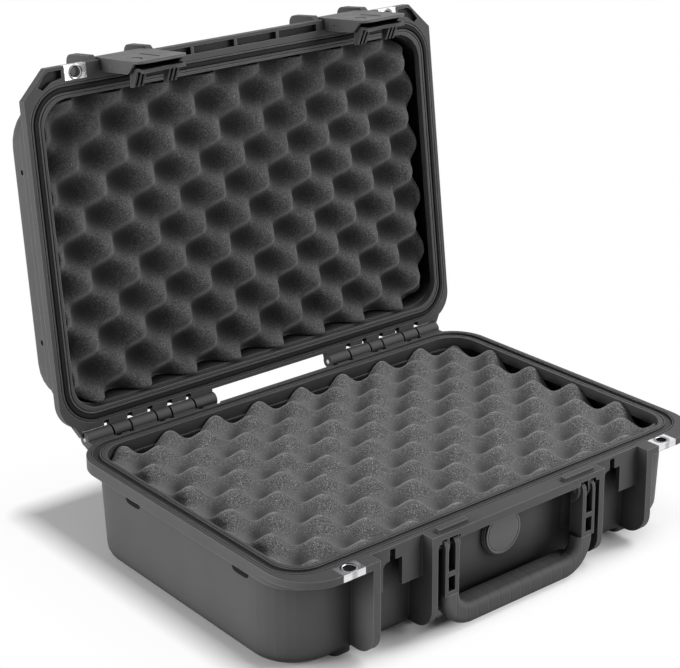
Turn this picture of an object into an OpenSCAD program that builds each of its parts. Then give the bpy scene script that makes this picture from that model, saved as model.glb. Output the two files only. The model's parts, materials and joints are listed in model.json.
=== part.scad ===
// Moulded hard case with a hinged lid, two trigger latches, a folding carry handle,
// a pressure valve, steel padlock plates and egg-crate foam pads, shown open.
//
// Every piece is drawn in the closed case: X to the right, Y to the back, Z up, with
// the middle of the rim's parting plane at the origin. place_base() and place_lid()
// then put it where it stands, on the floor or on the open lid.

/* [Shell] */
// Outer width of the rim
rim_w = 456; // [420:1:520]
// Outer depth of the rim, without ribs and hinges
rim_d = 306; // [280:1:360]
// Corner radius of the rim, seen from above
rim_r = 38; // [34:1:44]
// Height of the parting plane above the floor
base_h = 91; // [88:1:130]
// Height of the lid above the parting plane
lid_h = 43; // [40:1:52]
// Wall thickness
wall = 4; // [3:0.1:4.5]
// How far the side walls sit inside the rim's edge
side_inset = 3; // [2:0.5:5]
// How far the front and back walls sit inside the rim's edge
front_inset = 13.5; // [12:0.5:15]
// Draft of the walls, in degrees
draft = 1.6; // [0.5:0.1:2]
// Radius along the bottom edge of the base
edge_r = 12; // [9:0.5:14]
// Radius along the top edge of the lid
lid_edge_r = 9; // [7:0.5:11]
// Angle between the open lid and the closed one
open_angle = 96.5; // [80:0.5:100]
// Height of the feet
foot_h = 3; // [2:0.5:5]

/* [Rim and seal] */
// Depth of the base's rim band along the sides
band_h = 11; // [9:0.5:14]
// Thickness of the lid's flange
flange_t = 8; // [6:0.5:8]
// Width of the rim from its edge to the opening
rim_width = 16; // [15.5:0.5:17]
// Distance from the rim's edge to the middle of the seal
seal_inset = 8.5; // [8:0.25:9]
// Width of the seal groove
seal_w = 5; // [4:0.25:5.5]
// Depth of the seal groove in the lid
seal_d = 3.2; // [2.5:0.1:4]
// Gap between lid and base when the case is closed
parting_gap = 0.3; // [0.3:0.05:0.5]

/* [Front ribs] */
// How far the ribs reach in front of the rim
front_reach = 11.5; // [10:0.5:14]
// Width of the corners outside the latch bays
corner_w = 78; // [76:0.5:84]
// Thickness of the ribs beside the handle
handle_rib_t = 6; // [4:0.5:8]
// Clear width of a latch bay
bay_w = 53; // [50:0.5:56]
// Thickness of the outer ribs
outer_rib_t = 7; // [5:0.5:9]
// Height of the front band above the handle
front_band_h = 8; // [6:0.5:9]

/* [Latches] */
// Height of the latch pivot above the parting plane
latch_pivot_z = 12.5; // [11.5:0.25:14]
// How far the latch pivot lies in front of the rim
latch_reach = 6.5; // [6:0.25:7]
// Length from the latch pivot to the tip
latch_len = 72; // [64:0.5:76]
// Diameter of the latch pivot pins
latch_pin_d = 4; // [3:0.25:5]
// Distance from the latch pivot down to the trigger pin
trigger_drop = 26.5; // [25:0.5:28]
// Diameter of the trigger pins
trigger_pin_d = 3; // [2.5:0.25:3.5]
// Depth of the keepers that the latches hook under
keeper_h = 36; // [34:0.5:38]

/* [Hinge] */
// How far the hinge axis lies behind the rim
hinge_reach = 9; // [8.5:0.5:12]
// Distance from the rim's side to the end of a hinge
hinge_inset = 21; // [20:0.5:24]
// Radius of the hinge knuckles
knuckle_r = 6.5; // [5.5:0.25:7]
// Diameter of the hinge pins
hinge_pin_d = 4; // [3:0.25:5]

/* [Handle] */
// Distance from the handle to the inner edge of the rib beside it
handle_gap = 6.5; // [5:0.5:10]
// Width of a handle arm
arm_w = 14.5; // [13.5:0.25:15]
// Thickness of the handle, front to back
handle_t = 14; // [12:0.5:14.5]
// Depth of the handle's pivots below the parting plane
handle_pivot_z = 13; // [12.5:0.25:14]
// Lowest point of the handle below the parting plane
handle_bottom = 88; // [84:0.5:88]
// Height of the gripping bar
grip_h = 17.5; // [15:0.5:20]
// Inner radius of the grip's corners
grip_inner_r = 14; // [10:0.5:18]
// Diameter of the handle's pivot pins
handle_pin_d = 4; // [3:0.25:5]

/* [Valve and padlock plates] */
// Diameter of the valve's cap
valve_d = 38; // [30:0.5:40]
// Depth of the valve's middle below the parting plane
valve_z = 34; // [34:0.5:36]
// Diameter of the valve's stem
valve_stem_d = 12; // [10:0.5:13]
// Distance from the rim's side to the middle of a padlock plate
plate_inset = 52.5; // [50:0.5:55]
// Width of a padlock plate
plate_w = 21.4; // [18:0.2:24]
// Diameter of the padlock holes
padlock_d = 8.5; // [7:0.25:9]
// Thickness of the padlock plates
plate_t = 1.2; // [1:0.1:1.6]

/* [Foam] */
// Pitch of the foam's bumps along the case
foam_pitch = 50; // [44:1:60]
// Pitch of the foam's bumps from front to back
foam_row_pitch = 54; // [44:1:60]
// Height of the foam's bumps
foam_wave = 17; // [10:1:18]
// Thickness of the base's top pad, bumps included
top_pad_t = 22; // [20:0.5:22]

/* [Hidden] */
$fn = 48;

plastic = [0.21, 0.21, 0.22];
latch_grey = [0.30, 0.30, 0.31];
foam_grey = [0.26, 0.26, 0.27];
lid_foam_grey = [0.22, 0.22, 0.23];
steel = [0.75, 0.75, 0.76];
rubber = [0.06, 0.06, 0.06];

pin_fit = 0.05;            // radial clearance of a pin in its bore
side_gap = 0.5;            // sideways clearance of a latch or an arm
seat_gap = 0.3;            // clearance of a soft pad beside its wall
sink = 1;                  // how far a joined form reaches into its neighbour
pad_round = 26;            // corner radius of the foam pads

half_w = rim_w / 2;
half_d = rim_d / 2;
wall_x = half_w - side_inset;
wall_y = half_d - front_inset;
body_r = rim_r + 4;
body_bottom = base_h - foot_h;
front_y = half_d + front_reach;
latch_pivot_y = half_d + latch_reach;
hinge_y = half_d + hinge_reach;
hinge_z = parting_gap / 2;
lid_floor = lid_h - wall;
base_floor = body_bottom - wall;

bay_out = half_w - corner_w;
bay_in = bay_out - bay_w;
bay_x = (bay_in + bay_out) / 2;
rib_out = bay_out + outer_rib_t;
handle_rib_x = bay_in - handle_rib_t;
rib_drop = 62;             // where a rib's front begins to round under
rib_round = 20;            // radius of that rounding
lid_rib_round = 8;
lid_rib_y = front_y + 3.5; // front face of the lid's ribs, behind the flange
lid_rib_h = lid_h + 2;
bay_wall_w = 18;           // sloping side wall of the handle bay
bay_wall_d = 12;
side_notch_y = [54, -93];  // small dark notches under the rim along the sides
side_notch_r = 4.5;
lid_hole_y = [74, -77];    // blind holes in the lid's side walls
lid_hole_z = 24;
lid_hole_r = 2.5;
locator_w = 34;            // bars that enter the lid's front pockets
locator_d = 5.4;
foot_x = half_w - 68;
foot_inset = 15;
foot_w = 20;
foot_d = 14;

// Knuckles along each hinge, from its outer end: [start, end, true when it is the base's].
hinge_out = half_w - hinge_inset;
knuckles = [[0, 26, true], [28, 45, false], [47, 72, true], [74, 88, false],
            [90, 114, true], [116, 139, false]];
hinge_len = 139;
hinge_notch_w = 5.5;

latch_w = bay_w - 2 * side_gap;
latch_plate_t = 2.2;
latch_cheek_t = 2.5;
latch_face_y = front_y + 1.6;     // outer face of a latch beside its pivot
latch_lean = 1.0;                 // how much closer to the case the tip lies
latch_barrel_r = 6;
cheek_y = half_d + 0.8;           // back edges of a latch's cheeks, just clear of the keeper
trigger_w = 44;
trigger_y = latch_pivot_y - 0.7;
trigger_z = latch_pivot_z - trigger_drop;
trigger_barrel_r = 3.3;
lever_y = half_d + 3.2;           // inner face of the trigger's lever
lever_t = 2.2;
hook_z = -(keeper_h + 1.3);       // top of the hooks
hook_h = 12;
hook_y = wall_y + 2;              // tips of the hooks, behind the keeper
fin_t = 1.8;
fin_pitch = 4.2;
keeper_t = 4;
notch_w = 20;
slot_w = 6;
notch_shift = 4.5;                // the notch sits left of the bay's middle
spring_wire_r = 0.45;
spring_turns = 5;
spring_pitch = 1.5;

handle_x = handle_rib_x - handle_gap;
arm_in = handle_x - arm_w;
strand_out = 3.2;
strand_in = 4;
handle_y = front_y + 1.5;         // front face of the handle
handle_pivot_y = handle_y - handle_t / 2;
arm_roof = handle_pivot_z - handle_t / 2 - 1.2;
arm_back = handle_t - handle_y + 0.8;
arm_room = 2.5;
lug_x = handle_x - strand_out - side_gap - 1.3;
lug_t = 2.6;
inner_lug_x = arm_in - side_gap - lug_t / 2;
cross_bar = [33.6, 37.9];
grip_top = 54.8;
core_w = 6;
grip_round = 5;            // rounding of the grip's section
grip_turn_x = handle_x - grip_h - grip_inner_r;
grip_turn_z = grip_h + grip_inner_r - handle_bottom;

plate_x = half_w - plate_inset;
plate_d = 13;
shelf_t = 6;
shelf_r = 40;
shelf_d = 60;
ear_d = 27;                // how far the ears beside the hinges reach along the sides
lid_corner_r = 26;
chamfer = 24.5;            // cut across the lid flange's front corners
pocket_t = 3;
pocket_pitch = 47.8;
// Pockets in the lid's front edge, from right to left: [start, end] of each.
pockets = [for (x1 = [handle_rib_x - pocket_t:-pocket_pitch:pocket_t + 10 - handle_rib_x])
    [max(x1 - pocket_pitch + pocket_t, pocket_t - handle_rib_x), x1]];

valve_seat_y = wall_y + 1.2;
valve_inner_y = wall_y - wall - 1.6;
valve_flange_t = 1.6;
valve_cap_t = 2.2;
valve_nut_t = 4;
valve_grip = valve_seat_y - valve_inner_y;

// The lid's furthest point behind the hinge sets where the open case is centred.
function swung(y, z) = hinge_y + (y - hinge_y) * cos(open_angle) + (z - hinge_z) * sin(open_angle);
lid_reach_y = max(swung(lid_h * tan(draft) + lid_edge_r - wall_y, lid_h - lid_edge_r) + lid_edge_r,
                  swung(lid_rib_round - lid_rib_y, lid_rib_h - lid_rib_round) + lid_rib_round);
centre_y = (lid_reach_y - handle_y) / 2;

module place_base() translate([0, -centre_y, base_h]) children();
module place_lid() place_base()
    translate([0, hinge_y, hinge_z]) rotate([-open_angle, 0, 0])
        translate([0, -hinge_y, -hinge_z]) children();

// Rounded rectangle with true arcs.
module rounded_rect(w, d, r) {
    square([w - 2 * r, d], center = true);
    square([w, d - 2 * r], center = true);
    for (sx = [-1, 1], sy = [-1, 1]) translate([sx * (w / 2 - r), sy * (d / 2 - r)]) circle(r);
}

// Block that hangs below its top plane, with drafted sides and a rounded bottom edge.
module tub(hw, hd, r, depth, edge) {
    taper = depth * tan(draft);
    hull() for (sx = [-1, 1], sy = [-1, 1]) {
        translate([sx * (hw - r), sy * (hd - r), -1]) cylinder(r = r, h = 1, $fn = 32);
        translate([sx * (hw - r - taper), sy * (hd - r - taper), edge - depth])
            rotate_extrude($fn = 32) translate([r - edge, 0]) circle(edge, $fn = 20);
    }
}

// Extrudes a profile drawn in Y and Z along X, between two X values.
module along_x(x0, x1) translate([x0, 0, 0]) rotate([90, 0, 90]) linear_extrude(x1 - x0) children();

// Round bar along X.
module bar_x(x0, x1, y, z, r) translate([x0, y, z]) rotate([0, 90, 0]) cylinder(r = r, h = x1 - x0);

function arc(cx, cy, r, a0, a1, n = 8) =
    [for (i = [0:n]) [cx + r * cos(a0 + (a1 - a0) * i / n), cy + r * sin(a0 + (a1 - a0) * i / n)]];

// Ring that follows the rim at a distance from its edge, drawn between two heights.
module rim_ring(inset, w, z0, z1) translate([0, 0, z0]) linear_extrude(z1 - z0) difference() {
    rounded_rect(rim_w - 2 * inset + w, rim_d - 2 * inset + w, rim_r - inset + w / 2);
    rounded_rect(rim_w - 2 * inset - w, rim_d - 2 * inset - w, rim_r - inset - w / 2);
}

// Fine lines that run round the rim on both sides of the seal.
module rim_lines(z0, z1) {
    rim_ring(4.2, 1, z0, z1);
    rim_ring(seal_inset + 4.6, 1.2, z0, z1);
}

// Corner shelf that carries a padlock plate; side is -1 or 1.
module shelf_outline(side) intersection() {
    translate([0, (half_d - front_y) / 2]) rounded_rect(rim_w, half_d + front_y, shelf_r);
    translate([side > 0 ? rib_out - sink : -half_w, -front_y])
        square([half_w - rib_out + sink, shelf_d]);
}

// Side view of a front rib of the base.
module base_rib(x0, x1) along_x(x0, x1) polygon(concat(
    [[2 * sink - wall_y, 0], [-front_y, 0]],
    arc(-front_y + rib_round, -rib_drop, rib_round, 180, 270),
    [[edge_r - wall_y, -rib_drop - rib_round]]));

// Side view of a front rib of the lid, which stands proud of the flange and the top.
module lid_rib(x0, x1) along_x(x0, x1) polygon(concat(
    [[2 * sink - wall_y, parting_gap], [-front_y, parting_gap], [-front_y, flange_t - 2],
     [-lid_rib_y, flange_t + 2]],
    arc(-lid_rib_y + lid_rib_round, lid_rib_h - lid_rib_round, lid_rib_round, 180, 90),
    [[-lid_rib_y + lid_rib_round + 4, lid_rib_h], [2 * sink - wall_y, lid_h - 4]]));

module hinge_knuckles(mine) for (side = [-1, 1], k = knuckles) if (k[2] == mine) {
    x0 = side > 0 ? hinge_out - k[1] : k[0] - hinge_out;
    x1 = side > 0 ? hinge_out - k[0] : k[1] - hinge_out;
    bar_x(x0, x1, hinge_y, hinge_z, knuckle_r);
    along_x(x0, x1) if (mine)
        polygon([[half_d - 3, -0.4], [hinge_y, -0.4], [hinge_y + 3, -5], [half_d - 2, -band_h],
                 [wall_y - 2, -band_h - 6], [wall_y - 2, -5]]);
    else
        polygon([[half_d - 3, hinge_z + 0.5], [hinge_y, hinge_z + 0.5], [hinge_y + 3, 5],
                 [half_d - 1, flange_t], [half_d - 3, flange_t]]);
}

// Dark steps between the knuckles: pockets in a shell's edge at the ends of the other
// shell's knuckles.
module hinge_notches(mine) for (side = [-1, 1], k = knuckles)
    if (k[2] != mine) for (end = [k[0] - 1, k[1] + 1 - hinge_notch_w]) if (end > 0) {
        x0 = side > 0 ? hinge_out - end - hinge_notch_w : end - hinge_out;
        translate([x0, half_d - 2.5, mine ? -hinge_notch_w : -1])
            cube([hinge_notch_w, hinge_reach, hinge_notch_w + 1]);
    }

module hinge_bores() for (side = [-1, 1])
    bar_x(side > 0 ? hinge_out - hinge_len - 1 : -hinge_out - 1,
          side > 0 ? hinge_out + 1 : hinge_len - hinge_out + 1,
          hinge_y, hinge_z, hinge_pin_d / 2 + pin_fit);

// Keeper across a latch bay.
module keeper(x0) translate([x0 - sink, -half_d, -keeper_h])
    cube([bay_w + 2 * sink, keeper_t, keeper_h - 1]);

// Arched notch of a keeper, and the slot above it that runs up through the rim.
module keeper_notch(side) translate([side * bay_x - notch_shift, -half_d - 1, 0])
    rotate([-90, 0, 0]) linear_extrude(keeper_t + 2) {
        translate([-notch_w / 2, 18]) square([notch_w, keeper_h]);
        translate([-notch_w / 2 + 6, 12]) square([notch_w - 6, 12]);
        translate([-notch_w / 2 + 6, 18]) circle(6);
        translate([-slot_w / 2, 2.5]) square([slot_w, 16]);
    }

module padlock_plate(side, up) color(steel) {
    x0 = side * plate_x - plate_w / 2;
    z0 = up ? parting_gap : -plate_t;
    difference() {
        union() {
            translate([x0, -front_y, z0]) cube([plate_w, plate_d, plate_t]);
            translate([x0, -front_y, up ? parting_gap : -shelf_t])
                cube([plate_w, plate_t, shelf_t]);
        }
        translate([side * plate_x, -front_y + plate_d / 2 + 0.4, z0 - 1])
            cylinder(d = padlock_d, h = plate_t + 2);
    }
}

// What a padlock plate takes out of its shelf: its own seat and the hole through.
module plate_seat(side, up) {
    x0 = side * plate_x - plate_w / 2 - pin_fit;
    z0 = up ? parting_gap - 1 : -plate_t - pin_fit;
    translate([x0, -front_y - 1, z0])
        cube([plate_w + 2 * pin_fit, plate_d + 1 + pin_fit, plate_t + 1 + pin_fit]);
    translate([x0, -front_y - 1, up ? parting_gap - 1 : -shelf_t - 1])
        cube([plate_w + 2 * pin_fit, plate_t + 1 + pin_fit, shelf_t + 1 + pin_fit]);
    translate([side * plate_x, -front_y + plate_d / 2 + 0.4, up ? -2 : -shelf_t - 4])
        cylinder(d = padlock_d + 1, h = flange_t + 6);
}

module base_shell() place_base() color(plastic) difference() {
    union() {
        translate([0, 0, -2]) tub(wall_x, wall_y, body_r, body_bottom - 2, edge_r);
        for (side = [-1, 1]) {
            translate([0, 0, -shelf_t]) linear_extrude(shelf_t) shelf_outline(side);
            base_rib(side > 0 ? handle_rib_x : -bay_in, side > 0 ? bay_in : -handle_rib_x);
            base_rib(side > 0 ? bay_out : -rib_out, side > 0 ? rib_out : -bay_out);
            keeper(side > 0 ? bay_in : -bay_out);
            // Side wall of the handle bay, turned towards the rib.
            translate([0, 0, 4 - rib_drop]) linear_extrude(rib_drop - 6)
                polygon([[side * (bay_in - 1), -wall_y + 2],
                         [side * (handle_rib_x - bay_wall_w), -wall_y + 2],
                         [side * (bay_in - 1), -wall_y - bay_wall_d]]);
            // Lugs that carry the handle's pins.
            for (x = [lug_x, inner_lug_x]) handle_lug(side * x - lug_t / 2);
            for (sy = [-1, 1]) translate([side * foot_x, sy * (wall_y - foot_inset), -base_h])
                linear_extrude(foot_h + 4) rounded_rect(foot_w, foot_d, 6);
        }
        difference() {
            union() {
                translate([0, 0, -band_h]) linear_extrude(band_h) rounded_rect(rim_w, rim_d, rim_r);
                translate([-bay_in, -front_y, -front_band_h])
                    cube([2 * bay_in, front_reach + 2, front_band_h]);
            }
            // Room for the handle's arms, whose rounded tops turn under the band.
            for (side = [-1, 1])
                translate([side * (handle_x + arm_in) / 2 - arm_w / 2 - arm_room, -front_y - 1, -30])
                    cube([arm_w + 2 * arm_room, arm_back + 1 + front_y, 30 - arm_roof]);
        }
        // Locating bars that enter the outermost pockets of the lid.
        for (k = [pockets[0], pockets[len(pockets) - 1]]) {
            w = min(locator_w, k[1] - k[0] - 2);
            translate([k[1] > 0 ? k[1] - 1 - w : k[0] + 1, -front_y + pocket_t + 0.3, -2])
                cube([w, locator_d, 5]);
        }
        hinge_knuckles(true);
        // Pads that the valve clamps on, outside and inside the front wall.
        translate([0, -valve_seat_y, -valve_z]) rotate([-90, 0, 0])
            cylinder(r = valve_d / 2 + 2, h = wall);
        translate([0, -wall_y + 1, -valve_z]) rotate([-90, 0, 0])
            cylinder(r = valve_stem_d / 2 + 4, h = wall_y - 1 - valve_inner_y);
    }
    translate([0, 0, -band_h + 1]) tub(wall_x - wall, wall_y - wall, body_r - wall,
        base_floor - band_h + 1, edge_r - wall);
    translate([0, 0, -band_h - 0.5]) linear_extrude(band_h + 2)
        rounded_rect(rim_w - 2 * rim_width, rim_d - 2 * rim_width, rim_r - 12);
    rim_ring(seal_inset, seal_w + 1.4, -2, 1);
    rim_lines(-0.8, 1);
    hinge_bores();
    hinge_notches(true);
    for (side = [-1, 1]) {
        plate_seat(side, false);
        keeper_notch(side);
        for (y = side_notch_y) bar_x(side > 0 ? wall_x - 1.6 : -half_w + 0.8,
                                     side > 0 ? half_w - 0.8 : 1.6 - wall_x, y, -band_h, side_notch_r);
        // Handle pin bore, through the lugs and blind in the rib.
        bar_x(side > 0 ? inner_lug_x - 3 : -handle_rib_x - 3, side > 0 ? handle_rib_x + 3 : -inner_lug_x + 3,
              -handle_pivot_y, -handle_pivot_z, handle_pin_d / 2 + pin_fit);
    }
    translate([0, -valve_seat_y - 1, -valve_z]) rotate([-90, 0, 0])
        cylinder(d = valve_stem_d + 0.4, h = 12);
}

// Finger that hangs from the front band, carries one end of a handle pin and curves
// back to a blunt point below it.
module handle_lug(x0) along_x(x0, x0 + lug_t) translate([-handle_pivot_y, -handle_pivot_z]) {
    circle(5);
    translate([-4.5, 0]) square([9, handle_pivot_z - 1.4]);
    polygon([[-4.8, -1], [-4, -4.5], [-1.8, -8], [1.5, -10.8], [4, -11.5], [4.6, -1]]);
}

module lid_shell() place_lid() color(plastic) difference() {
    union() {
        translate([0, 0, parting_gap]) linear_extrude(flange_t) lid_flange_outline();
        translate([0, 0, 2]) mirror([0, 0, 1])
            tub(wall_x, wall_y, body_r, lid_h - 2, lid_edge_r);
        for (side = [-1, 1]) {
            lid_rib(side > 0 ? handle_rib_x : -bay_in, side > 0 ? bay_in : -handle_rib_x);
            lid_rib(side > 0 ? bay_out : -rib_out, side > 0 ? rib_out : -bay_out);
        }
        for (side = [-1, 1]) translate([side > 0 ? hinge_out - hinge_len : -hinge_out, half_d - 2, parting_gap])
            cube([hinge_len, 2 + hinge_reach - knuckle_r - 0.5, flange_t]);
        // Raised step round the lid's walls, above the flange.
        translate([0, 0, flange_t]) linear_extrude(10)
            rounded_rect(rim_w - 3, 2 * wall_y + 3, rim_r);
        hinge_knuckles(false);
    }
    mirror([0, 0, 1]) translate([0, 0, -flange_t + 1]) tub(wall_x - wall, wall_y - wall, body_r - wall,
        lid_floor - flange_t + 1, lid_edge_r - wall);
    translate([0, 0, -1]) linear_extrude(flange_t + 1.5)
        rounded_rect(rim_w - 2 * rim_width, rim_d - 2 * rim_width, rim_r - 12);
    rim_ring(seal_inset, seal_w, -1, parting_gap + seal_d);
    rim_lines(-1, parting_gap + 0.8);
    hinge_bores();
    hinge_notches(false);
    front_pockets();
    for (side = [-1, 1]) {
        plate_seat(side, true);
        for (y = lid_hole_y) bar_x(side > 0 ? wall_x - 2.4 : -half_w, side > 0 ? half_w : 2.4 - wall_x,
                                   y, lid_hole_z, lid_hole_r);
        bar_x(side > 0 ? bay_in - 5 : -rib_out - 1, side > 0 ? rib_out + 1 : -bay_in + 5,
              -latch_pivot_y, latch_pivot_z, latch_pin_d / 2 + pin_fit);
    }
}

// The lid's flange from above: the rim, the deep front edge with its latch bays, and the
// diagonal ears beside the hinges.
module lid_flange_outline() {
    rounded_rect(rim_w, rim_d, rim_r);
    difference() {
        translate([0, (half_d - front_y) / 2]) rounded_rect(rim_w, half_d + front_y, lid_corner_r);
        for (side = [-1, 1]) translate([side * bay_x - bay_w / 2, -front_y - 1])
            square([bay_w, front_reach + 1]);
        for (side = [-1, 1])
            polygon([[side * (half_w + 1), -front_y - 1], [side * (half_w - chamfer - 1), -front_y - 1],
                     [side * (half_w + 1), chamfer + 1 - front_y]]);
    }
    for (side = [-1, 1])
        polygon([[side * half_w, half_d - ear_d], [side * (hinge_out + 0.6), hinge_y],
                 [side * (hinge_out + 0.6), half_d - 4], [side * (half_w - 12), half_d - ear_d - 16]]);
}

// Row of open pockets in the lid's front edge, between the latch bays, and the
// three-cornered pockets beside the padlock plates.
module front_pockets() translate([0, 0, -1]) linear_extrude(flange_t - 1.5 + parting_gap) {
    pocket_in = half_d + 1.8;
    for (k = pockets)
        translate([k[0], -front_y + pocket_t]) square([k[1] - k[0], front_y - pocket_t - pocket_in]);
    for (side = [-1, 1]) {
        inner = plate_x + plate_w / 2 + pocket_t;
        polygon([[side * inner, pocket_t - front_y], [side * (half_w - 26), pocket_t - front_y],
                 [side * (half_w - 21.5), pocket_t + 2.5 - front_y], [side * (half_w - 14.5), 15 - front_y],
                 [side * (half_w - 19), 18 - front_y], [side * (half_w - 28), 12 - front_y],
                 [side * inner, front_reach - 1.5 - front_y]]);
    }
}

module lid_gasket() place_lid() color(rubber) {
    rim_ring(seal_inset, seal_w - 0.6, parting_gap + 0.4, parting_gap + seal_d);
    rim_ring(seal_inset, seal_w - 2.4, -0.7, parting_gap + 0.4);
}

module hinge_pin(side) place_base() color(steel)
    bar_x(side > 0 ? hinge_out - hinge_len : -hinge_out, side > 0 ? hinge_out : hinge_len - hinge_out,
          hinge_y, hinge_z, hinge_pin_d / 2);

// Latch cover seen from the side: a leaning plate that wraps over the pivot.
module latch_side() {
    tip_z = latch_pivot_z - latch_len;
    polygon(concat(
        [[-latch_face_y + latch_lean, tip_z + 2], [-latch_face_y, latch_pivot_z - 2]],
        arc(-latch_pivot_y, latch_pivot_z, latch_face_y - latch_pivot_y, 180, 75),
        arc(-latch_pivot_y, latch_pivot_z, latch_barrel_r - 1.5, 75, 180),
        [[-latch_face_y + latch_plate_t, latch_pivot_z - 8],
         [-latch_face_y + latch_lean + latch_plate_t, tip_z],
         [-latch_face_y + latch_lean + 1, tip_z]]));
}

module latch_body(side) place_lid() translate([side * bay_x, 0, 0]) color(latch_grey) {
    tip_z = latch_pivot_z - latch_len;
    difference() {
        union() {
            intersection() {
                along_x(-latch_w / 2, latch_w / 2) latch_side();
                // Front view of the cover, with its rounded tip corners.
                translate([0, -wall_y, 0]) rotate([90, 0, 0]) linear_extrude(wall_y) {
                    translate([-latch_w / 2, tip_z + 9]) square([latch_w, latch_len + 20]);
                    translate([-latch_w / 2 + 9, tip_z - 1]) square([latch_w - 18, 20]);
                    for (s = [-1, 1]) translate([s * (latch_w / 2 - 9), tip_z + 9]) circle(9);
                }
            }
            for (s = [-1, 1]) {
                x0 = s > 0 ? latch_w / 2 - latch_cheek_t : -latch_w / 2;
                along_x(x0, x0 + latch_cheek_t) {
                    translate([-latch_pivot_y, latch_pivot_z]) circle(latch_barrel_r);
                    polygon([[-latch_face_y + 1, latch_pivot_z], [-latch_face_y + 2.2, tip_z + 9],
                             [-latch_face_y + 4.5, tip_z + 10], [-cheek_y, hook_z - 3.5],
                             [-cheek_y, -2], [-latch_pivot_y + 4, latch_pivot_z - 4.4],
                             [-latch_pivot_y, latch_pivot_z]]);
                }
                bar_x(s > 0 ? latch_w / 2 - 12 : -latch_w / 2, s > 0 ? latch_w / 2 : -latch_w / 2 + 12,
                      -latch_pivot_y, latch_pivot_z, latch_barrel_r);
            }
        }
        bar_x(-latch_w, latch_w, -latch_pivot_y, latch_pivot_z, latch_pin_d / 2 + pin_fit);
        bar_x(-latch_w, latch_w, -trigger_y, trigger_z, trigger_pin_d / 2 + pin_fit);
    }
}

module latch_pin(side) place_lid() color(steel)
    bar_x(side > 0 ? bay_in - 4 : -rib_out + 1, side > 0 ? rib_out - 1 : -bay_in + 4,
          -latch_pivot_y, latch_pivot_z, latch_pin_d / 2);

module trigger_pin(side) place_lid() translate([side * bay_x, 0, 0]) color(steel)
    bar_x(-latch_w / 2, latch_w / 2, -trigger_y, trigger_z, trigger_pin_d / 2);

// Trigger: a lever on the latch, with three hook fins on each side and a curved lip.
module latch_trigger(side) place_lid() translate([side * bay_x, 0, 0]) color(latch_grey) {
    lip_z = latch_pivot_z - latch_len + 3;
    difference() {
        union() {
            for (s = [-1, 1])
                bar_x(s > 0 ? 6 : -trigger_w / 2, s > 0 ? trigger_w / 2 : -6,
                      -trigger_y, trigger_z, trigger_barrel_r);
            along_x(-trigger_w / 2, trigger_w / 2)
                polygon([[-lever_y, trigger_z - 3.5], [-lever_y - lever_t, trigger_z - 3.5],
                         [-lever_y - lever_t, lip_z + 3], [-lever_y - lever_t + 0.8, lip_z],
                         [-lever_y + 1.6, lip_z - 1.5], [-lever_y + 1.6, lip_z + 1],
                         [-lever_y, lip_z + 4]]);
            for (s = [-1, 1]) along_x(s > 0 ? 6 : -trigger_w / 2, s > 0 ? trigger_w / 2 : -6)
                polygon([[-lever_y - lever_t, trigger_z - 5], [-lever_y - lever_t, trigger_z],
                         [-lever_y, trigger_z], [-lever_y, trigger_z - 5]]);
            for (s = [-1, 1], i = [0:2]) {
                x0 = s * (trigger_w / 2 - fin_t / 2 - i * fin_pitch) - fin_t / 2;
                along_x(x0, x0 + fin_t)
                    polygon([[-lever_y - 1, hook_z + 4], [-lever_y, hook_z + 4],
                             [-lever_y + 0.5, hook_z - 0.6], [-hook_y, hook_z + 1],
                             [-hook_y - 0.5, hook_z - 4], [-lever_y, hook_z - hook_h],
                             [-lever_y - 1, hook_z - hook_h]]);
            }
        }
        bar_x(-trigger_w, trigger_w, -trigger_y, trigger_z, trigger_pin_d / 2 + pin_fit);
        // Bowed lower edge of the lip.
        translate([0, -wall_y, lip_z - 56]) rotate([90, 0, 0]) cylinder(r = 56.5, h = wall_y, $fn = 96);
    }
}

// Torsion spring round the trigger pin, swept along a helix.
module trigger_spring(side) place_lid()
    translate([side * bay_x, -trigger_y, trigger_z]) color(steel) {
    sides = 6;
    steps = 12;
    rings = spring_turns * steps;
    coil_r = trigger_pin_d / 2 + pin_fit + 0.15 + spring_wire_r;
    half_len = spring_turns * spring_pitch / 2;
    points = [for (i = [0:rings], j = [0:sides - 1])
        let (a = 360 * i / steps, b = 360 * j / sides, r = coil_r + spring_wire_r * cos(b))
        [spring_pitch * i / steps - half_len + spring_wire_r * sin(b), r * cos(a), r * sin(a)]];
    skin = [for (i = [0:rings - 1], j = [0:sides - 1])
        let (k = (j + 1) % sides) each [[i * sides + j, i * sides + k, (i + 1) * sides + k],
                                        [i * sides + j, (i + 1) * sides + k, (i + 1) * sides + j]]];
    first = [for (j = [1:sides - 2]) [0, j + 1, j]];
    last = [for (j = [1:sides - 2]) [rings * sides, rings * sides + j, rings * sides + j + 1]];
    polyhedron(concat(points), concat([for (f = skin) [f[2], f[1], f[0]]],
                                      [for (f = first) [f[2], f[1], f[0]]],
                                      [for (f = last) [f[2], f[1], f[0]]]));
}

// Core of the handle inside the grip: a U with round corners, from arm to arm.
module core_front() {
    path_r = grip_inner_r + grip_h / 2;
    height = 80;
    difference() {
        translate([0, grip_turn_z + height / 2 - path_r - core_w / 2])
            rounded_rect(2 * (grip_turn_x + path_r) + core_w, height, path_r + core_w / 2);
        translate([0, grip_turn_z + height / 2 - path_r + core_w / 2])
            rounded_rect(2 * (grip_turn_x + path_r) - core_w, height, path_r - core_w / 2);
        translate([-handle_x, 4 - grip_top]) square([2 * handle_x, height]);
    }
}

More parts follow.
